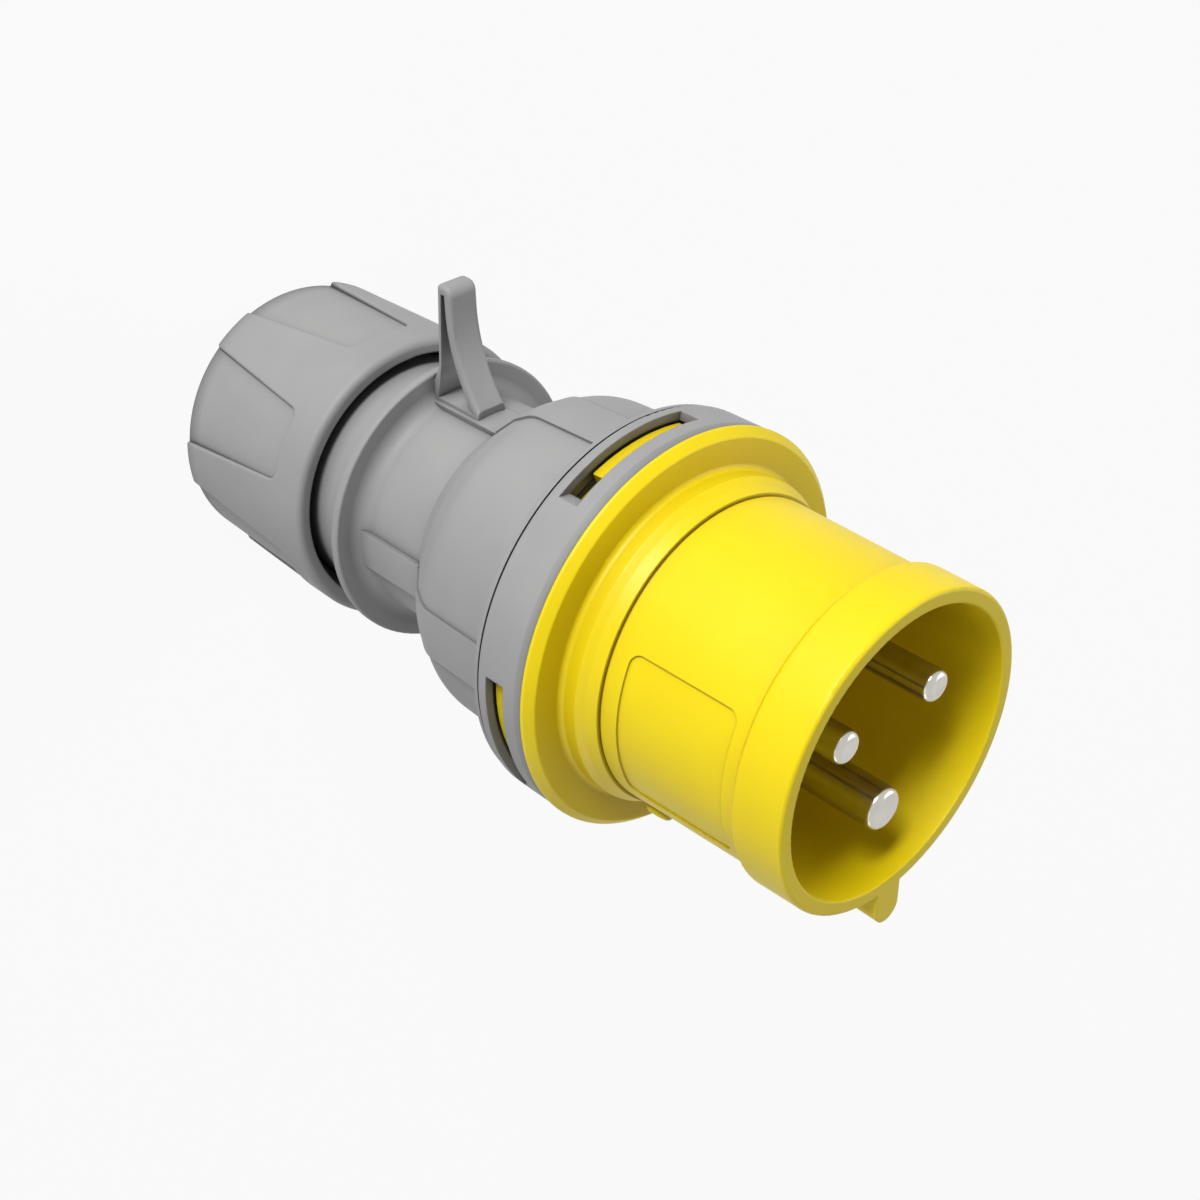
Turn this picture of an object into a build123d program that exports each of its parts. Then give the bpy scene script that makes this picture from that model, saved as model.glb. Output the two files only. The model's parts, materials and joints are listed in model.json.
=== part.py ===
from build123d import *
import math
import os

# Industrial plug with three pins, standing on its gland nut with the mouth up.
# The origin is on the plug's axis at the back of the gland nut, and +Z runs towards the mouth.
# Clock angles are in degrees from +Y, the side of the fin, towards +X.

# Lengths along the axis, in order from the back of the nut to the mouth
nut_length = 40.3
neck_reveal = 9.7
disc_thickness = 1.8
neck_length = 17.2
cone_length = 7.5
shoulder_length = 25.4
lip_thickness = 1.0
parting_gap = 0.4
ring_length = 10.4
seam_gap = 0.7
flange_thickness = 1.9
collar_length = 7.0
barrel_length = 29.0
band_length = 10.7

# Clearances
slip = 0.3
seat = 0.1
thread_gap = 0.3

# Shroud, from its bore outwards
mouth_bore_radius = 26.4
bore_draft = 0.5
barrel_wall = 1.7
barrel_taper = 0.75
band_height = 1.4
band_taper = 0.25
band_slope_length = 1.1
mouth_inner_round = 0.3
mouth_outer_round = 0.7
band_round = 0.8
flange_overhang = 0.2
flange_bevel = 1.5
flange_round = 0.4
flange_rear_round = 0.5
collar_end_height = 0.55
collar_height = 1.6
collar_side_length = 3.4
collar_bevel_length = 1.4
collar_bevel = 0.9
collar_round = 0.4
collar_foot_round = 1.0
groove_width = 0.35
groove_depth = 0.3
floor_depth = 40.0
floor_thickness = 5.0
floor_rebate = 2.1
skirt_wall = 3.0
key_width = 5.8
key_height = 6.95
key_clock = 180
lug_clocks = (-4.75, -99.35)
lug_half_angle = 16.25
lug_height = 3.05
lug_width = 3.6
round_lug_clock = -136
round_lug_radius = 2.5
round_lug_height = 1.6
round_lug_crown = 0.9
round_lug_setback = 34.4
panel_start_clock = -118.6
panel_end_clock = -59.2
panel_rear_setback = 35.8
panel_length = 22.6
panel_depth = 0.35
panel_corner = 2.2

# Locking ring
ring_wall = 1.65
ring_lip_length = 3.9
ring_rear_round = 0.6
ring_front_bevel_length = 1.2
ring_front_bevel = 0.7
window_clocks = (-10, -104.6)
window_half_angle = 22.2
window_ramp_angle = 6.0
window_width = 4.3
entry_turn = -42
entry_margin_angle = 1.5
bead_height = 0.6
bead_depth = 0.45

# Rear housing
neck_radius = 23.0
neck_wall = 2.8
neck_fillet = 3.0
thread_height = 1.6
thread_end_bevel = 0.6
disc_height = 4.5
disc_rear_round = 0.4
disc_front_round = 0.5
shoulder_round_length = 5.8
shoulder_rise = 3.3
shoulder_draft = 0.6
shoulder_round = 9.0
lip_setback = 0.4
lip_height = 4.4
lip_rear_round = 0.6
lip_front_round = 0.2
housing_wall = 2.8
throat_round = 3.0
pad_clocks = (0, 90, 180, 270)
pad_half_angle = 8.8
pad_height = 0.5
block_half_angle = 9.5
block_height = 1.1
spigot_wall = 1.7
neck_end_wall = 4.9
throat_step = 2.4

# Fin on the neck
fin_width = 6.4
fin_rise = 19.0
fin_rear_setback = 1.5
fin_rear_rise = 2.2
fin_rear_lean = 1.4
fin_top_length = 3.8
fin_straight = 4.8
fin_front_radius = 29.3
fin_foot_height = 2.5
fin_front_wall = 1.7
fin_rear_wall = 1.1
fin_sill = 0.5
fin_top_round = 1.9
fin_edge_round = 0.8

# Gland nut
nut_overhang = 0.8
nut_draft = 0.4
nut_rear_round = 1.6
nut_front_round = 1.5
nut_mouth_gap = 2.2
nut_mouth_round = 0.4
nut_lead_in = 4.0
cable_hole_radius = 11.0
nut_wall = 3.5
recess_count = 6
recess_length = 32.0
recess_rear_half_width = 10.3
recess_front_half_width = 7.0
recess_rear_depth = 1.25
recess_front_depth = 0.6
recess_corner = 2.4
recess_edge_round = 0.5

# Gland inside the nut
neck_end = 14.0
seal_depth = 16.0
seal_bore_radius = 8.0
seal_nose_step = 4.5
seal_nose_length = 6.5
cage_flange_thickness = 3.0
cage_flange_setback = 1.0
cage_root_step = 2.6
cage_tip_wall = 1.9
cage_tip_bore_step = 1.6
finger_count = 12
finger_slot = 1.6
thrust_ring_thickness = 2.0
thrust_ring_step = 0.9

# Pins, terminals and their carrier
pin_circle_radius = 12.9
pin_setback = 2.0
earth_pin_radius = 4.0
phase_pin_radius = 3.0
pin_tip_round = 1.2
pin_names = ("earth", "line", "neutral")
pin_clocks = (180, 60, -60)
shank_step = 0.3
pin_collar_step = 2.4
pin_collar_thickness = 3.0
pin_collar_round = 0.3
terminal_step = 1.6
terminal_length = 21.0
terminal_wall = 2.2
terminal_round = 0.5
wire_hole_depth = 15.0
terminal_screw_radius = 2.0
terminal_screw_stand = 2.6
terminal_screw_inset = 6.0
terminal_screw_slot = 0.8
pressure_plate_thickness = 0.6
pressure_plate_length = 8.0
carrier_step = 1.7
carrier_thickness = 11.0
gasket_thickness = 2.2
retainer_setback = 2.0
retainer_thickness = 3.0
barrier_thickness = 2.0
barrier_reach = 16.0
barrier_length = 15.0
retainer_screw_clocks = (0, 120, 240)
retainer_screw_inset = 4.1
retainer_screw_radius = 1.75
retainer_screw_grip = 4.0
screw_head_radius = 3.1
screw_head_height = 2.2
screw_slot_width = 0.9
screw_slot_depth = 1.0

# How far a cutter runs past the surface that it opens, and how deep a raised form is rooted
past = 1.0
root_depth = 1.0

# Tolerance for picking out edges by their place or direction
pick_tolerance = 0.05

# Heights that follow from the lengths
disc_rear = nut_length + neck_reveal
disc_front = disc_rear + disc_thickness
cone_start = disc_front + neck_length
shoulder_start = cone_start + cone_length
lip_rear = shoulder_start + shoulder_length
lip_front = lip_rear + lip_thickness
ring_rear = lip_front + parting_gap
ring_front = ring_rear + ring_length
flange_rear = ring_front + seam_gap
flange_front = flange_rear + flange_thickness
collar_front = flange_front + collar_length
band_rear = collar_front + barrel_length
mouth = band_rear + band_length
floor_front = mouth - floor_depth
floor_rear = floor_front - floor_thickness
skirt_rear = lip_front + gasket_thickness
carrier_rear = floor_rear - carrier_thickness
retainer_rear = carrier_rear - retainer_thickness
window_front = ring_front - ring_lip_length
window_rear = window_front - window_width
cage_rear = neck_end - cage_flange_thickness
seal_front = neck_end + seal_depth

# Radii of the front half, each built on the one before
barrel_front_radius = mouth_bore_radius + barrel_wall
barrel_rear_radius = barrel_front_radius + barrel_taper
band_rear_radius = barrel_front_radius + band_height
mouth_radius = band_rear_radius - band_taper
collar_end_radius = barrel_rear_radius + collar_end_height
collar_radius = collar_end_radius + collar_height
key_reach = mouth_radius + key_height
floor_bore_radius = mouth_bore_radius - bore_draft
carrier_radius = floor_bore_radius + carrier_step
skirt_bore_radius = carrier_radius + slip + floor_rebate
skirt_radius = skirt_bore_radius + skirt_wall
lug_radius = skirt_radius + lug_height
ring_bore_radius = lug_radius + slip
ring_radius = ring_bore_radius + ring_wall
flange_radius = ring_radius + flange_overhang
lip_radius = ring_radius - lip_setback
spigot_radius = ring_bore_radius - 2 * slip
shoulder_end_radius = lip_radius - lip_height
shoulder_radius = shoulder_end_radius - shoulder_draft
cone_end_radius = shoulder_radius - shoulder_rise
gasket_inner_radius = shoulder_radius - housing_wall + slip
retainer_radius = carrier_radius - retainer_setback
retainer_screw_circle = retainer_radius - retainer_screw_inset

# Radii of the neck and of the gland
thread_radius = neck_radius + thread_height
disc_radius = thread_radius + disc_height
fin_height = disc_radius + fin_rise
nut_front_radius = disc_radius + nut_overhang
nut_rear_radius = nut_front_radius - nut_draft
nut_mouth_radius = thread_radius + nut_mouth_gap
seal_radius = thread_radius - neck_end_wall - slip
seal_nose_radius = seal_radius - seal_nose_step
throat_radius = seal_radius - throat_step
cage_flange_radius = thread_radius - cage_flange_setback
cage_root_radius = cage_flange_radius - cage_root_step
cage_tip_radius = seal_nose_radius + cage_tip_wall
cage_tip_bore_radius = cable_hole_radius + cage_tip_bore_step
thrust_ring_radius = cage_tip_radius + thrust_ring_step


def turned(points, rounds=()):
    """Solid turned about the axis. Points are (radius, height); rounds is (point number, radius) pairs."""
    corner_radii = [0] * len(points)
    for number, radius in rounds:
        corner_radii[number] = radius
    corners = [(radius, 0, height) for radius, height in points]
    if any(corner_radii):
        outline = FilletPolyline(*corners, radius=corner_radii, close=True)
    else:
        outline = Polyline(*corners, close=True)
    return revolve(make_face(outline), Axis.Z)


def sector(inner, outer, low, high, start, end):
    """Part of a ring between two clock angles."""
    corners = [(inner, 0, low), (outer, 0, low), (outer, 0, high), (inner, 0, high)]
    section = make_face(Polyline(*corners, close=True))
    return Rot(0, 0, 90 - end) * revolve(section, Axis.Z, revolution_arc=end - start)


def at_clock(clock, radius, height):
    angle = math.radians(clock)
    return Pos(radius * math.sin(angle), radius * math.cos(angle), height)


def rod(radius, low, high):
    return Pos(0, 0, low) * Cylinder(radius, high - low, align=(Align.CENTER, Align.CENTER, Align.MIN))


def turn_to_clock(clock, piece):
    return Rot(0, 0, -clock) * piece


def both_sides(clocks):
    """Each clock angle and the one opposite it."""
    return [clock + half_turn for half_turn in (0, 180) for clock in clocks]


def pin_radius(name):
    return earth_pin_radius if name == "earth" else phase_pin_radius


def shank_radius(name):
    return pin_radius(name) + shank_step


def terminal_radius(name):
    return pin_radius(name) + terminal_step


def wire_hole_radius(name):
    return terminal_radius(name) - terminal_wall


def terminal_screw_height():
    return carrier_rear - terminal_length + terminal_screw_inset


def shroud_skin():
    """Turned body of the shroud, with a skirt behind the flange and a floor for the pins."""
    return turned(
        [
            (floor_bore_radius, floor_front),
            (mouth_bore_radius, mouth),
            (mouth_radius, mouth),
            (band_rear_radius, band_rear + band_slope_length),
            (barrel_front_radius, band_rear),
            (barrel_rear_radius, collar_front + groove_width),
            (barrel_rear_radius - groove_depth, collar_front + groove_width),
            (barrel_rear_radius - groove_depth, collar_front),
            (collar_end_radius, collar_front),
            (collar_radius - collar_bevel, flange_front + collar_side_length + collar_bevel_length),
            (collar_radius, flange_front + collar_side_length),
            (collar_radius, flange_front),
            (flange_radius - flange_bevel, flange_front),
            (flange_radius, flange_front - flange_bevel),
            (flange_radius, flange_rear),
            (skirt_radius, flange_rear),
            (skirt_radius, skirt_rear),
            (skirt_bore_radius, skirt_rear),
            (skirt_bore_radius, flange_rear),
            (carrier_radius + slip, flange_rear),
            (carrier_radius + slip, floor_rear),
            (0, floor_rear),
            (0, floor_front),
        ],
        [
            (1, mouth_inner_round), (2, mouth_outer_round), (3, band_round),
            (9, collar_round), (10, collar_round), (11, collar_foot_round),
            (12, flange_round), (13, flange_rear_round),
        ],
    )


def key():
    """Rib with a rounded crest along the outside of the shroud."""
    half = key_width / 2
    crest = key_reach - half
    foot = mouth_bore_radius + seat
    profile = Pos(0, (crest + foot) / 2) * Rectangle(key_width, crest - foot) + Pos(0, crest) * Circle(half)
    rib = Pos(0, 0, flange_front - slip) * extrude(profile, mouth - flange_front + slip)
    return turn_to_clock(key_clock, rib)


def label_panel():
    """Shallow sunk field with rounded corners, following the taper of the barrel."""
    low = mouth - panel_rear_setback
    high = low + panel_length
    field = sector(mouth_bore_radius, band_rear_radius, low, high, panel_start_clock, panel_end_clock)
    straight = field.edges().filter_by(GeomType.LINE)
    field = fillet([edge for edge in straight if abs(edge.tangent_at(0).Z) < pick_tolerance], panel_corner)
    slope = barrel_taper / (band_rear - collar_front - groove_width)
    sunk_rear = barrel_rear_radius - panel_depth - slope * (low - past - collar_front - groove_width)
    sunk_front = sunk_rear - slope * (panel_length + 2 * past)
    core = turned([(0, low - past), (sunk_rear, low - past), (sunk_front, high + past), (0, high + past)])
    return field - core


def shroud():
    body = shroud_skin() + key()
    body -= rod(carrier_radius + slip, skirt_rear, floor_rear)
    for clock in both_sides(lug_clocks):
        low = window_rear + slip + seat
        body += sector(
            skirt_radius - root_depth, lug_radius, low, low + lug_width,
            clock - lug_half_angle, clock + lug_half_angle,
        )
    crown = barrel_front_radius + round_lug_height
    nub = Rot(-90, 0, 0) * rod(round_lug_radius, barrel_front_radius - root_depth, crown)
    nub = fillet(nub.edges().sort_by(Axis.Y)[-1], round_lug_crown)
    body += Pos(0, 0, mouth - round_lug_setback) * turn_to_clock(round_lug_clock, nub)
    body -= label_panel()
    for name, clock in zip(pin_names, pin_clocks):
        hole = rod(shank_radius(name) + seat, floor_rear - past, floor_front + past)
        body -= at_clock(clock, pin_circle_radius, 0) * hole
    for clock in retainer_screw_clocks:
        pilot = rod(retainer_screw_radius + seat / 2, floor_rear - past, floor_rear + retainer_screw_grip)
        body -= at_clock(clock, retainer_screw_circle, 0) * pilot
    return body


def locking_ring():
    """Ring round the shroud's skirt, with windows over the lugs and gaps in its lip to let them in."""
    body = turned(
        [
            (ring_bore_radius, ring_rear),
            (ring_radius, ring_rear),
            (ring_radius, ring_front - ring_front_bevel_length),
            (ring_radius - ring_front_bevel, ring_front),
            (ring_bore_radius, ring_front),
        ],
        [(1, ring_rear_round)],
    )
    for clock in both_sides(window_clocks):
        window = sector(
            ring_bore_radius - past, ring_radius + past, window_rear, window_front,
            clock - window_half_angle, clock + window_half_angle,
        )
        body -= window - turn_to_clock(clock - window_half_angle, window_ramp())
    return body + ring_land() + ring_lip()


def ring_land():
    """Inner land of the locking ring that snaps round the housing's spigot."""
    bead_low = ring_rear + bead_height
    inner = spigot_radius + seat
    outer = ring_bore_radius + slip
    return turned([
        (outer, ring_rear),
        (outer, window_rear - slip),
        (inner, window_rear - slip),
        (inner, bead_low + bead_height),
        (inner - bead_depth, bead_low + bead_height),
        (inner - bead_depth, bead_low),
        (inner, bead_low),
        (inner, ring_rear),
    ])


def ring_lip():
    """Inner lip at the front of the locking ring, with an entry gap for each lug."""
    notch_radius = lug_radius + slip
    body = turned([
        (skirt_radius + slip, window_front),
        (ring_bore_radius + slip, window_front),
        (ring_bore_radius + slip, ring_front),
        (skirt_radius + slip, ring_front),
    ])
    for clock in both_sides(lug_clocks):
        reach = lug_half_angle + entry_margin_angle
        body -= sector(
            skirt_radius, notch_radius, window_front - past, ring_front + past,
            clock + entry_turn - reach, clock + entry_turn + reach,
        )
    return body


def window_ramp():
    """Wedge that is left at one end of a window, so that the end slopes outwards."""
    turn = math.radians(window_ramp_angle)
    inner = ring_bore_radius - 2 * past
    outer = ring_radius + 2 * past
    run = outer * math.sin(turn)
    section = make_face(Polyline(
        (-run, inner),
        (run, inner),
        (0, ring_radius),
        (-run, outer),
        close=True,
    ))
    return Pos(0, 0, window_rear - past) * extrude(section, window_width + 2 * past)


def shoulder_outline(extra):
    """Outside of the cone and shoulder, raised by an extra height."""
    return [
        (neck_radius + extra, cone_start),
        (cone_end_radius + extra, shoulder_start),
        (shoulder_radius + extra, shoulder_start + shoulder_round_length),
        (shoulder_end_radius + extra, lip_rear),
    ]


def housing_skin():
    """Turned wall of the housing, from its threaded end to the spigot inside the locking ring."""
    spigot_top = skirt_rear - 2 * seat
    groove_low = ring_rear + bead_height - seat
    groove_high = groove_low + bead_height + 2 * seat
    inner = shoulder_radius - housing_wall
    return turned(
        [
            (seal_radius + slip, neck_end),
            (thread_radius, neck_end),
            (thread_radius, disc_rear),
            (disc_radius, disc_rear),
            (disc_radius, disc_front),
            (neck_radius, disc_front),
            *shoulder_outline(0),
            (lip_radius, lip_rear),
            (lip_radius, lip_front),
            (spigot_radius, lip_front),
            (spigot_radius, groove_low),
            (spigot_radius - bead_depth, groove_low),
            (spigot_radius - bead_depth, groove_high),
            (spigot_radius, groove_high),
            (spigot_radius, spigot_top),
            (spigot_radius - spigot_wall, spigot_top),
            (spigot_radius - spigot_wall, lip_front),
            (inner, lip_front),
            (inner, shoulder_start + shoulder_round_length),
            (cone_end_radius - housing_wall, shoulder_start),
            (neck_radius - neck_wall, cone_start),
            (neck_radius - neck_wall, disc_front + neck_wall),
            (throat_radius, disc_rear - neck_wall),
            (throat_radius, seal_front),
            (seal_radius + slip, seal_front),
        ],
        [
            (1, thread_end_bevel), (3, disc_rear_round), (4, disc_front_round), (5, neck_fillet),
            (8, shoulder_round), (9, lip_rear_round), (10, lip_front_round), (22, throat_round),
        ],
    )


def shoulder_pad(clock):
    """Raised grip field over the cone and shoulder."""
    corners = [(radius, 0, height) for radius, height in shoulder_outline(pad_height)]
    corners += [
        (shoulder_radius - root_depth, 0, lip_rear),
        (cone_end_radius - root_depth, 0, shoulder_start),
        (neck_radius - root_depth, 0, cone_start),
    ]
    section = make_face(FilletPolyline(*corners, radius=[0, 0, shoulder_round, 0, 0, 0, 0], close=True))
    pad = revolve(section, Axis.Z, revolution_arc=2 * pad_half_angle)
    return Rot(0, 0, 90 - clock - pad_half_angle) * pad


def neck_block(clock):
    """Raised field on the neck between the disc and the cone."""
    return sector(
        neck_radius - root_depth, neck_radius + block_height,
        disc_front - root_depth, cone_start + block_height,
        clock - block_half_angle, clock + block_half_angle,
    )


def fin_front(inset, foot):
    """Front of the fin, seen from the side: a straight stretch, then an arc down to the foot."""
    top = disc_front + fin_rear_setback + fin_rear_lean + fin_top_length
    centre = top + fin_front_radius
    radius = fin_front_radius + inset
    straight_end = fin_height - fin_straight
    middle = (straight_end + foot) / 2

    def on_arc(height):
        return (0, height, centre - math.sqrt(radius ** 2 - (straight_end - height) ** 2))

    straight = Line((0, fin_height - inset, top - inset), (0, straight_end, top - inset))
    return straight + ThreePointArc((0, straight_end, top - inset), on_arc(middle), on_arc(foot))


def fin_face(inset, rear_inset, foot, low_points):
    """Face between the fin's front, its top and its rear, closed below through low_points."""
    rear = disc_front + rear_inset
    rise = (0, disc_radius + fin_rear_rise, rear + fin_rear_setback)
    top_rear = (0, fin_height - inset, rear + fin_rear_setback + fin_rear_lean)
    front = fin_front(inset, foot)
    start = front @ 1
    end = front @ 0
    return make_face(front + Polyline(start, *low_points(start), rise, top_rear, end))


def fin():
    """Upright hollow finger hold, open on both sides, and the opening that is cut through it."""
    root = neck_radius - root_depth
    sill = neck_radius + block_height + fin_sill
    heel = disc_radius - fin_edge_round
    side = fin_face(0, 0, neck_radius + fin_foot_height, lambda start: [
        (0, root, start.Z),
        (0, root, disc_front - root_depth),
        (0, heel, disc_front - root_depth),
        (0, heel, disc_front),
    ])
    body = extrude(side, fin_width / 2, dir=(1, 0, 0), both=True)
    top_edges = body.edges().filter_by(Axis.X).group_by(Axis.Y)[-1].sort_by(Axis.Z)
    body = fillet(top_edges[-1], fin_top_round)
    body = fillet(body.edges().filter_by(Axis.X).group_by(Axis.Y)[-1].sort_by(Axis.Z)[0], fin_edge_round)
    rims = [edge for edge in body.edges() if abs(abs(edge.center().X) - fin_width / 2) < pick_tolerance]
    rims = [edge for edge in rims if edge.center().Y > neck_radius + fin_foot_height]
    body = fillet(rims, fin_edge_round)
    opening = fin_face(fin_front_wall, fin_rear_wall, sill, lambda start: [
        (0, sill, disc_front + fin_rear_wall),
    ])
    return body, extrude(opening, fin_width, dir=(1, 0, 0), both=True)


def rear_housing():
    body = housing_skin()
    for clock in pad_clocks:
        body += shoulder_pad(clock)
        body += neck_block(clock)
    upright, slot = fin()
    return body + upright - slot


def nut_recess():
    """Cutter for one grip recess, wide and deep at the back of the nut."""
    widening = (recess_rear_half_width - recess_front_half_width) / recess_length
    rear_half = recess_rear_half_width + widening * past
    rear = nut_rear_radius - recess_rear_depth
    front = nut_front_radius - recess_front_depth
    outline = FilletPolyline(
        (-rear_half, 0, -past), (-recess_front_half_width, 0, recess_length),
        (recess_front_half_width, 0, recess_length), (rear_half, 0, -past),
        radius=[0, recess_corner, recess_corner, 0], close=True,
    )
    prism = extrude(make_face(outline), nut_front_radius + past, dir=(0, 1, 0))
    core = turned([(0, -past), (rear, -past), (rear, 0), (front, nut_length), (0, nut_length)])
    return prism - core


def gland_nut():
    """Union nut: grip recesses outside; thread bore, cone for the claws and ring pocket inside."""
    thread_bore = thread_radius + thread_gap
    pocket = thrust_ring_radius + slip
    pocket_front = nut_wall + thrust_ring_thickness
    body = turned(
        [
            (cable_hole_radius, 0),
            (nut_rear_radius, 0),
            (nut_front_radius, nut_length),
            (nut_mouth_radius, nut_length),
            (nut_mouth_radius, nut_length - nut_lead_in),
            (thread_bore, nut_length - nut_lead_in - (nut_mouth_radius - thread_bore)),
            (thread_bore, neck_end),
            (cage_flange_radius + 2 * slip, cage_rear),
            (pocket, pocket_front),
            (pocket, nut_wall),
            (cable_hole_radius, nut_wall),
        ],
        [(1, nut_rear_round), (2, nut_front_round), (3, nut_mouth_round)],
    )
    cutter = nut_recess()
    for number in range(recess_count):
        body -= turn_to_clock(number * 360 / recess_count, cutter)
    skin = body.faces().filter_by(GeomType.CONE).sort_by(SortBy.AREA)[-1]
    rims = [edge for edge in skin.edges() if nut_rear_round + past < edge.center().Z < recess_length + past]
    return fillet([edge for edge in rims if edge.geom_type != GeomType.LINE], recess_edge_round)


def thrust_ring():
    return turned([
        (cable_hole_radius + slip, nut_wall),
        (thrust_ring_radius, nut_wall),
        (thrust_ring_radius, nut_wall + thrust_ring_thickness),
        (cable_hole_radius + slip, nut_wall + thrust_ring_thickness),
    ])


def clamp_cage():
    """Ring of claws: its flange sits on the end of the neck, and the claws point back into the nut."""
    tip = nut_wall + thrust_ring_thickness + slip
    bore = seal_nose_radius + slip
    body = turned([
        (bore, neck_end),
        (cage_flange_radius, neck_end),
        (cage_flange_radius, cage_rear),
        (cage_root_radius, cage_rear),
        (cage_tip_radius, tip),
        (cage_tip_bore_radius, tip),
        (bore, cage_rear),
    ])
    gap = Pos(0, 0, cage_rear) * Box(
        finger_slot, cage_root_radius + past, cage_rear - tip + past,
        align=(Align.CENTER, Align.MIN, Align.MAX),
    )
    for number in range(finger_count):
        body -= turn_to_clock(number * 360 / finger_count, gap)
    return body


def gland_seal():
    """Rubber sleeve: a plug in the neck and a tapered nose inside the claws."""
    nose = neck_end - seal_nose_length
    return turned([
        (seal_bore_radius, nose),
        (cage_tip_bore_radius - 2 * slip, nose),
        (seal_nose_radius, cage_rear),
        (seal_nose_radius, neck_end),
        (seal_radius, neck_end),
        (seal_radius, seal_front),
        (seal_bore_radius, seal_front),
    ])


def flange_gasket():
    outer = spigot_radius - spigot_wall - 2 * seat
    return turned([
        (gasket_inner_radius, lip_front),
        (outer, lip_front),
        (outer, skirt_rear),
        (gasket_inner_radius, skirt_rear),
    ])


def contact_carrier():
    """Insulating block behind the shroud's floor, bored for the pins, with a recess for each collar."""
    body = rod(carrier_radius, carrier_rear, floor_rear)
    for name, clock in zip(pin_names, pin_clocks):
        bore = rod(shank_radius(name) + seat, carrier_rear - past, floor_rear + past)
        collar = pin_radius(name) + pin_collar_step
        sink = rod(collar + seat, carrier_rear - past, carrier_rear + pin_collar_thickness)
        body -= at_clock(clock, pin_circle_radius, 0) * (bore + sink)
    for clock in retainer_screw_clocks:
        hole = rod(retainer_screw_radius + seat, carrier_rear - past, floor_rear + past)
        body -= at_clock(clock, retainer_screw_circle, 0) * hole
    return body


def pin_retainer():
    """Cover plate that holds the pins' collars, with barrier walls between the terminals."""
    body = rod(retainer_radius, retainer_rear, carrier_rear)
    wall = Pos(0, 0, retainer_rear) * Box(
        barrier_thickness, barrier_reach, barrier_length, align=(Align.CENTER, Align.MIN, Align.MAX),
    )
    for clock in retainer_screw_clocks:
        body += turn_to_clock(clock, wall)
        hole = rod(retainer_screw_radius + seat, retainer_rear - past, carrier_rear + past)
        body -= at_clock(clock, retainer_screw_circle, 0) * hole
    for name, clock in zip(pin_names, pin_clocks):
        hole = rod(terminal_radius(name) + seat, retainer_rear - past, carrier_rear + past)
        body -= at_clock(clock, pin_circle_radius, 0) * hole
    return body


def retainer_screw(clock):
    """Slotted self-tapping screw through the retainer and carrier into the shroud's floor."""
    tip = floor_rear + retainer_screw_grip - slip
    body = rod(retainer_screw_radius, retainer_rear, tip)
    body += rod(screw_head_radius, retainer_rear - screw_head_height, retainer_rear)
    slot = Pos(0, 0, retainer_rear - screw_head_height) * Box(
        screw_slot_width, 2 * screw_head_radius + past, screw_slot_depth,
        align=(Align.CENTER, Align.CENTER, Align.MIN),
    )
    return at_clock(clock, retainer_screw_circle, 0) * (body - slot)


def contact_pin(name, clock):
    """Turned pin: rounded front, collar held in the carrier, and a bored terminal behind."""
    radius = pin_radius(name)
    terminal_end = carrier_rear - terminal_length
    collar = radius + pin_collar_step
    collar_front_height = carrier_rear + pin_collar_thickness
    wire = wire_hole_radius(name)
    body = turned(
        [
            (0, mouth - pin_setback),
            (radius, mouth - pin_setback),
            (radius, floor_front),
            (shank_radius(name), floor_front),
            (shank_radius(name), collar_front_height),
            (collar, collar_front_height),
            (collar, carrier_rear),
            (terminal_radius(name), carrier_rear),
            (terminal_radius(name), terminal_end),
            (wire, terminal_end),
            (wire, terminal_end + wire_hole_depth),
            (0, terminal_end + wire_hole_depth),
        ],
        [(1, pin_tip_round), (5, pin_collar_round), (8, terminal_round)],
    )
    thread = Rot(-90, 0, 0) * rod(terminal_screw_radius + seat / 2, 0, terminal_radius(name) + past)
    body -= Pos(0, 0, terminal_screw_height()) * thread
    return at_clock(clock, pin_circle_radius, 0) * turn_to_clock(clock, body)


def screw_tip(name):
    """How far from the pin's own axis the terminal screw ends, above the pressure plate."""
    return wire_hole_radius(name) - 2 * pressure_plate_thickness


def terminal_screw(name, clock):
    """Slotted screw that presses on the wire from the side."""
    outer = terminal_radius(name) + terminal_screw_stand
    body = rod(terminal_screw_radius, screw_tip(name), outer)
    slot = Pos(0, 0, outer) * Box(
        terminal_screw_slot, 2 * terminal_screw_radius + past, terminal_screw_slot,
        align=(Align.CENTER, Align.CENTER, Align.MAX),
    )
    body = Pos(0, 0, terminal_screw_height()) * Rot(-90, 0, 0) * (body - slot)
    return at_clock(clock, pin_circle_radius, 0) * turn_to_clock(clock, body)


def pressure_plate(name, clock):
    """Small plate between the screw and the wire, inside the terminal's bore."""
    reach = screw_tip(name)
    low = reach - pressure_plate_thickness
    half_width = math.sqrt(wire_hole_radius(name) ** 2 - reach ** 2) - seat
    plate = Pos(0, low, terminal_screw_height()) * Box(
        2 * half_width, pressure_plate_thickness, pressure_plate_length,
        align=(Align.CENTER, Align.MIN, Align.CENTER),
    )
    return at_clock(clock, pin_circle_radius, 0) * turn_to_clock(clock, plate)


def all_parts():
    parts = {
        "shroud": shroud(),
        "locking_ring": locking_ring(),
        "rear_housing": rear_housing(),
        "gland_nut": gland_nut(),
        "thrust_ring": thrust_ring(),
        "clamp_cage": clamp_cage(),
        "gland_seal": gland_seal(),
        "flange_gasket": flange_gasket(),
        "contact_carrier": contact_carrier(),
        "pin_retainer": pin_retainer(),
    }
    for number, clock in enumerate(retainer_screw_clocks, start=1):
        parts[f"retainer_screw_{number}"] = retainer_screw(clock)
    for name, clock in zip(pin_names, pin_clocks):
        parts[f"{name}_pin"] = contact_pin(name, clock)
        parts[f"{name}_terminal_screw"] = terminal_screw(name, clock)
        parts[f"{name}_pressure_plate"] = pressure_plate(name, clock)
    return parts


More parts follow.
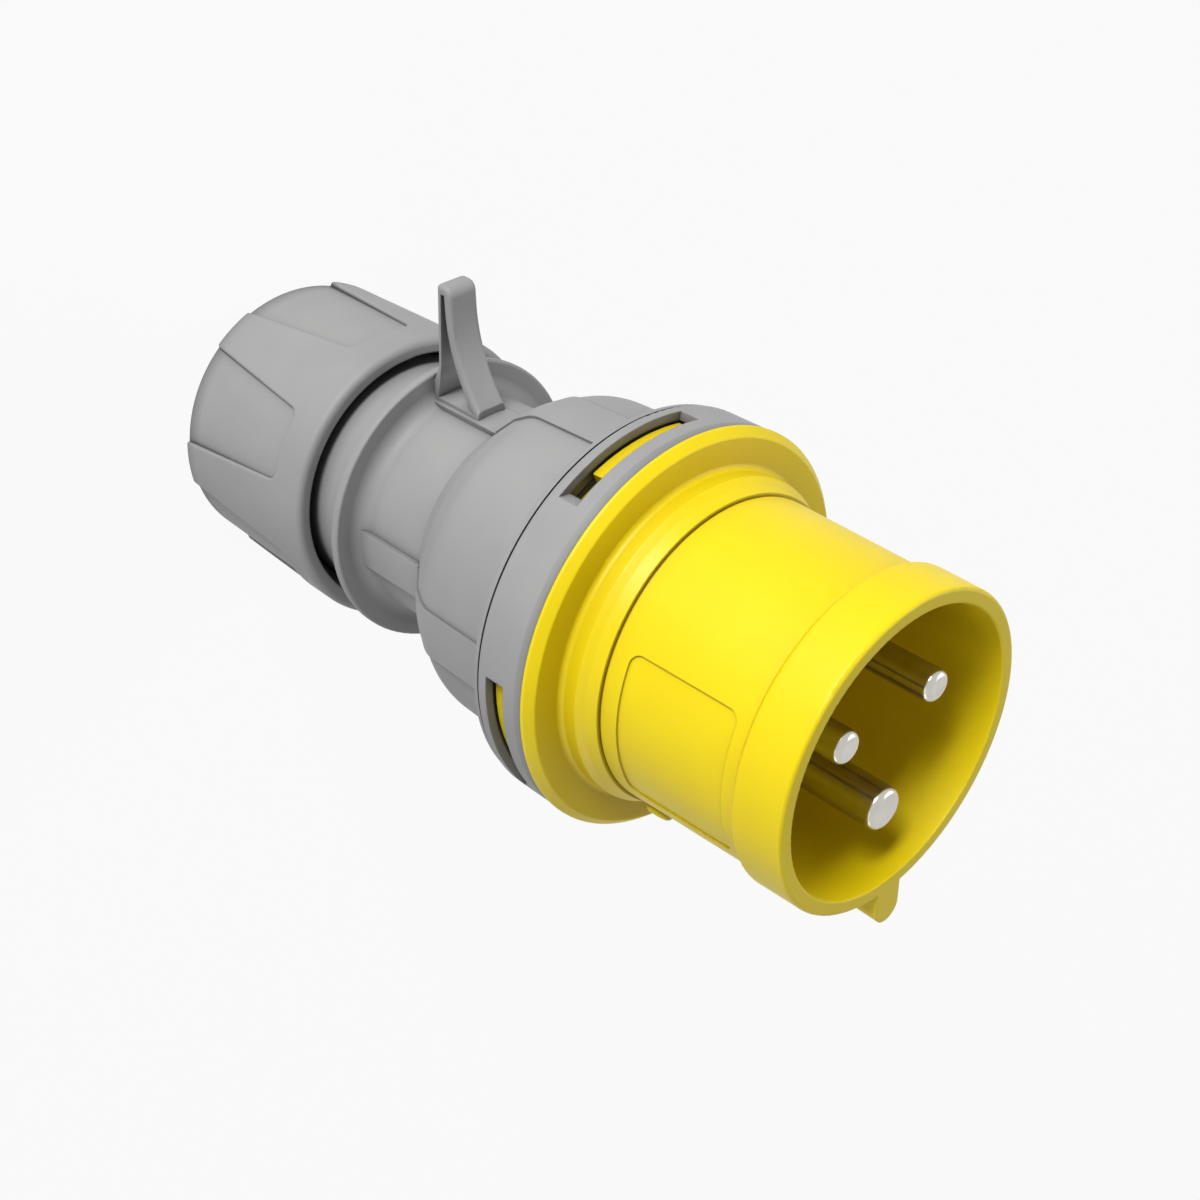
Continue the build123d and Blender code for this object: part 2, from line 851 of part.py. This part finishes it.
os.makedirs("parts", exist_ok=True)
for node, shape in all_parts().items():
    export_step(shape, f"parts/{node}.step")
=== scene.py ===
import json
import math

import bpy
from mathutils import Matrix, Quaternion, Vector

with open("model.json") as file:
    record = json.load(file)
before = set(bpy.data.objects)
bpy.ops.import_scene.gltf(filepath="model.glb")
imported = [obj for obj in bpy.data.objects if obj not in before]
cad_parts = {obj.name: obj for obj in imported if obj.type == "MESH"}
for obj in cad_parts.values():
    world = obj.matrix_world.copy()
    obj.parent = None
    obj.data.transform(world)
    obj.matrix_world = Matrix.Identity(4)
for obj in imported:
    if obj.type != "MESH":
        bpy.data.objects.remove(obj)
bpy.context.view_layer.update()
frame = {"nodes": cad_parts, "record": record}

MM = 0.001

# Camera, set so that the plug lies in the frame as in the photograph: lengths in metres, angles in degrees
CAMERA_PLACE = (-0.17989, 0.17726, 0.28765)
CAMERA_AIM = (-0.00196, -0.00194, 0.09508)
CAMERA_ROLL = 120.17
CAMERA_NEAR = 0.01
LENS_MM = 52.147
SENSOR_MM = 36.0

# Studio: the lamps' distance and the point on the plug that they face, the floor, and the world's light
LAMP_DISTANCE = 2.0
LIGHT_TARGET = (0.0, 0.0, 0.09)
FLOOR_SIZE = 8.0
FLOOR_COLOUR = (0.6, 0.6, 0.6)
FLOOR_GLOW = 0.93
WORLD_STRENGTH = 0.16

# Reach of the painted shade in narrow gaps and inner corners, and the part of a noise that the finishes
# spread over their ranges
SEAM_SHADE_REACH = 0.9 * MM
NOISE_MIDDLE = (0.3, 0.7)


def studio_camera():
    data = bpy.data.cameras.new("camera")
    data.lens = LENS_MM
    data.sensor_width = SENSOR_MM
    data.clip_start = CAMERA_NEAR
    camera = bpy.data.objects.new("camera", data)
    bpy.context.scene.collection.objects.link(camera)
    camera.location = CAMERA_PLACE
    aim = Vector(CAMERA_AIM) - Vector(CAMERA_PLACE)
    level = aim.to_track_quat("-Z", "Y")
    camera.rotation_mode = "QUATERNION"
    camera.rotation_quaternion = level @ Quaternion((0, 0, 1), math.radians(CAMERA_ROLL))
    bpy.context.scene.camera = camera


def lamp(name, bearing, elevation, size, brightness):
    """Square soft lamp. Brightness is what it adds to a white surface that faces it."""
    data = bpy.data.lights.new(name, "AREA")
    data.shape = "SQUARE"
    data.size = size
    data.energy = brightness * math.pi ** 2 * LAMP_DISTANCE ** 2
    obj = bpy.data.objects.new(name, data)
    bpy.context.scene.collection.objects.link(obj)
    turn, rise = math.radians(bearing), math.radians(elevation)
    away = Vector((math.cos(turn) * math.cos(rise), math.sin(turn) * math.cos(rise), math.sin(rise)))
    obj.location = Vector(LIGHT_TARGET) + LAMP_DISTANCE * away
    obj.rotation_mode = "QUATERNION"
    obj.rotation_quaternion = (-away).to_track_quat("-Z", "Y")
    obj.visible_camera = False


def seen_directly(nodes, links):
    """1 on camera, mirror and glass rays, and 0 on the rays that carry light between surfaces."""
    path = nodes.new("ShaderNodeLightPath")
    first = nodes.new("ShaderNodeMath")
    first.operation = "MAXIMUM"
    links.new(path.outputs["Is Camera Ray"], first.inputs[0])
    links.new(path.outputs["Is Glossy Ray"], first.inputs[1])
    second = nodes.new("ShaderNodeMath")
    second.operation = "MAXIMUM"
    links.new(first.outputs[0], second.inputs[0])
    links.new(path.outputs["Is Transmission Ray"], second.inputs[1])
    return second.outputs[0]


def studio_floor():
    half = FLOOR_SIZE / 2
    mesh = bpy.data.meshes.new("floor")
    corners = [(-half, -half, 0), (half, -half, 0), (half, half, 0), (-half, half, 0)]
    mesh.from_pydata(corners, [], [(0, 1, 2, 3)])
    floor = bpy.data.objects.new("floor", mesh)
    bpy.context.scene.collection.objects.link(floor)
    material = bpy.data.materials.new("floor")
    material.use_nodes = True
    nodes, links = material.node_tree.nodes, material.node_tree.links
    nodes.clear()
    paint = nodes.new("ShaderNodeBsdfDiffuse")
    paint.inputs["Color"].default_value = (*FLOOR_COLOUR, 1)
    glow = nodes.new("ShaderNodeEmission")
    share = nodes.new("ShaderNodeMath")
    share.operation = "MULTIPLY"
    share.inputs[1].default_value = FLOOR_GLOW
    links.new(seen_directly(nodes, links), share.inputs[0])
    mix = nodes.new("ShaderNodeMixShader")
    links.new(share.outputs[0], mix.inputs["Fac"])
    links.new(paint.outputs[0], mix.inputs[1])
    links.new(glow.outputs[0], mix.inputs[2])
    out = nodes.new("ShaderNodeOutputMaterial")
    links.new(mix.outputs[0], out.inputs["Surface"])
    mesh.materials.append(material)


def studio_world():
    world = bpy.data.worlds.new("studio")
    world.use_nodes = True
    nodes, links = world.node_tree.nodes, world.node_tree.links
    background = nodes["Background"]
    background.inputs["Color"].default_value = (1, 1, 1, 1)
    strength = nodes.new("ShaderNodeMapRange")
    strength.inputs["To Min"].default_value = WORLD_STRENGTH
    strength.inputs["To Max"].default_value = 1.0
    links.new(seen_directly(nodes, links), strength.inputs["Value"])
    links.new(strength.outputs["Result"], background.inputs["Strength"])
    bpy.context.scene.world = world


class Finish:
    """A material under construction, with the few nodes that every finish here uses."""

    def __init__(self, name):
        self.material = bpy.data.materials.new(name)
        self.material.use_nodes = True
        self.nodes = self.material.node_tree.nodes
        self.links = self.material.node_tree.links
        self.shader = self.nodes["Principled BSDF"]
        self.place = self.nodes.new("ShaderNodeTexCoord").outputs["Object"]

    def noise(self, grain, detail=2.0, stretch=(1, 1, 1)):
        """Noise whose grains are this size in metres, stretched along the axes."""
        mapping = self.nodes.new("ShaderNodeMapping")
        mapping.inputs["Scale"].default_value = [1 / (grain * s) for s in stretch]
        self.links.new(self.place, mapping.inputs["Vector"])
        noise = self.nodes.new("ShaderNodeTexNoise")
        noise.inputs["Scale"].default_value = 1.0
        noise.inputs["Detail"].default_value = detail
        self.links.new(mapping.outputs[0], noise.inputs["Vector"])
        return noise.outputs["Fac"]

    def spread(self, value, low, high):
        """Maps the middle of a value from 0 to 1 to the range from low to high."""
        node = self.nodes.new("ShaderNodeMapRange")
        node.inputs["From Min"].default_value = NOISE_MIDDLE[0]
        node.inputs["From Max"].default_value = NOISE_MIDDLE[1]
        node.inputs["To Min"].default_value = low
        node.inputs["To Max"].default_value = high
        self.links.new(value, node.inputs["Value"])
        return node.outputs["Result"]

    def blend(self, share, low, high):
        """Colour between two others, each a colour or a node's output."""
        mix = self.nodes.new("ShaderNodeMix")
        mix.data_type = "RGBA"
        self.links.new(share, mix.inputs[0])
        for socket, tone in ((mix.inputs[6], low), (mix.inputs[7], high)):
            if isinstance(tone, tuple):
                socket.default_value = (*tone, 1)
            else:
                self.links.new(tone, socket)
        return mix.outputs[2]

    def openness(self, reach):
        """How open the surface lies to what is around it within this reach: 0 in a gap, 1 in the open."""
        node = self.nodes.new("ShaderNodeAmbientOcclusion")
        node.samples = 8
        node.inputs["Distance"].default_value = reach
        return node.outputs["AO"]

    def colour(self, value, dark, light, painted_seam_shade=None, painted_hollow_shade=None):
        """Colour between two tones, by a noise. The seam argument is a tone of painted shade for narrow gaps
        and inner corners, the hollow argument a (reach, tone) of painted shade in hollows.
        """
        tone = self.blend(self.spread(value, 0, 1), dark, light)
        # Painted shade: hollows darkened by ambient occlusion over a wide reach
        if painted_hollow_shade:
            reach, hollow_shade_tone = painted_hollow_shade
            tone = self.blend(self.openness(reach), hollow_shade_tone, tone)
        # Painted shade: narrow gaps and inner corners darkened by ambient occlusion
        if painted_seam_shade:
            tone = self.blend(self.spread(self.openness(SEAM_SHADE_REACH), 0, 1), painted_seam_shade, tone)
        self.links.new(tone, self.shader.inputs["Base Color"])

    def roughness(self, value, low, high):
        self.links.new(self.spread(value, low, high), self.shader.inputs["Roughness"])

    def relief(self, layers, edge):
        """Bump from (noise, height in metres) layers, over edges softened by this radius."""
        bevel = self.nodes.new("ShaderNodeBevel")
        bevel.samples = 6
        bevel.inputs["Radius"].default_value = edge
        normal = bevel.outputs["Normal"]
        for value, height in layers:
            bump = self.nodes.new("ShaderNodeBump")
            bump.inputs["Distance"].default_value = height
            self.links.new(value, bump.inputs["Height"])
            self.links.new(normal, bump.inputs["Normal"])
            normal = bump.outputs["Normal"]
        self.links.new(normal, self.shader.inputs["Normal"])

    def set(self, **values):
        for name, value in values.items():
            self.shader.inputs[name.replace("_", " ")].default_value = value


def yellow_shell():
    finish = Finish("yellow_shell")
    cloud = finish.noise(14 * MM)
    grain = finish.noise(0.35 * MM, detail=3)
    # Painted shade: dark tone for narrow gaps and inner corners, not a colour of the plastic
    painted_seam_shade = (0.30, 0.20, 0.0)
    # Painted shade: hollows such as the flange by the collar darkened over a 12 mm reach
    painted_hollow_shade = (12 * MM, (0.32, 0.22, 0.0))
    finish.colour(cloud, (0.86, 0.655, 0.003), (0.89, 0.69, 0.004), painted_seam_shade, painted_hollow_shade)
    finish.roughness(grain, 0.40, 0.50)
    finish.relief([(cloud, 0.05 * MM), (grain, 0.006 * MM)], 0.35 * MM)
    finish.set(Specular_IOR_Level=0.35)
    return finish.material


def grey_shell():
    finish = Finish("grey_shell")
    cloud = finish.noise(18 * MM)
    grain = finish.noise(0.28 * MM, detail=4)
    # Painted shade: dark tone for narrow gaps and inner corners, not a colour of the plastic
    painted_seam_shade = (0.03, 0.03, 0.032)
    # Painted shade: hollows such as the nut recesses darkened over a 4 mm reach
    painted_hollow_shade = (4 * MM, (0.05, 0.05, 0.051))
    finish.colour(cloud, (0.30, 0.30, 0.30), (0.33, 0.33, 0.328), painted_seam_shade, painted_hollow_shade)
    finish.roughness(grain, 0.52, 0.66)
    finish.relief([(cloud, 0.05 * MM), (grain, 0.012 * MM)], 0.35 * MM)
    finish.set(IOR=1.48)
    return finish.material


def plain_plastic(name, dark, light):
    finish = Finish(name)
    cloud = finish.noise(9 * MM)
    grain = finish.noise(0.25 * MM, detail=3)
    finish.colour(cloud, dark, light)
    finish.roughness(grain, 0.5, 0.62)
    finish.relief([(grain, 0.01 * MM)], 0.2 * MM)
    return finish.material


def plated_brass():
    finish = Finish("plated_brass")
    rings = finish.noise(0.15 * MM, stretch=(200, 200, 1))
    haze = finish.noise(3 * MM)
    finish.colour(haze, (0.50, 0.48, 0.44), (0.56, 0.54, 0.50))
    finish.roughness(haze, 0.20, 0.26)
    finish.relief([(rings, 0.002 * MM)], 0.2 * MM)
    finish.set(Metallic=1.0)
    return finish.material


def zinc_steel():
    finish = Finish("zinc_steel")
    blotch = finish.noise(1.2 * MM, detail=4)
    finish.colour(blotch, (0.56, 0.57, 0.58), (0.68, 0.69, 0.70))
    finish.roughness(blotch, 0.3, 0.45)
    finish.relief([(blotch, 0.006 * MM)], 0.15 * MM)
    finish.set(Metallic=1.0)
    return finish.material


def seal_rubber():
    finish = Finish("seal_rubber")
    grain = finish.noise(0.4 * MM, detail=4)
    finish.colour(grain, (0.025, 0.025, 0.027), (0.04, 0.04, 0.042))
    finish.roughness(grain, 0.7, 0.85)
    finish.relief([(grain, 0.015 * MM)], 0.3 * MM)
    return finish.material


def dress_nodes():
    """Gives each CAD node the finish of its slot in the record."""
    finishes = {
        "yellow_shell": yellow_shell(),
        "grey_shell": grey_shell(),
        "dark_insulator": plain_plastic("dark_insulator", (0.035, 0.035, 0.038), (0.05, 0.05, 0.053)),
        "claw_plastic": plain_plastic("claw_plastic", (0.68, 0.67, 0.62), (0.74, 0.73, 0.69)),
        "plated_brass": plated_brass(),
        "zinc_steel": zinc_steel(),
        "seal_rubber": seal_rubber(),
    }
    for part in frame["record"]["subparts"]:
        mesh = frame["nodes"][part["node"]].data
        mesh.materials.clear()
        mesh.materials.append(finishes[part["material_slot"]])


studio_camera()
studio_floor()
studio_world()
lamp("key", bearing=115, elevation=4, size=0.8, brightness=1.35)
lamp("side", bearing=195, elevation=3, size=1.2, brightness=0.15)
lamp("low", bearing=240, elevation=3, size=1.2, brightness=0.25)
lamp("back", bearing=0, elevation=45, size=1.0, brightness=0.26)
dress_nodes()

bpy.context.scene.view_settings.view_transform = "Standard"
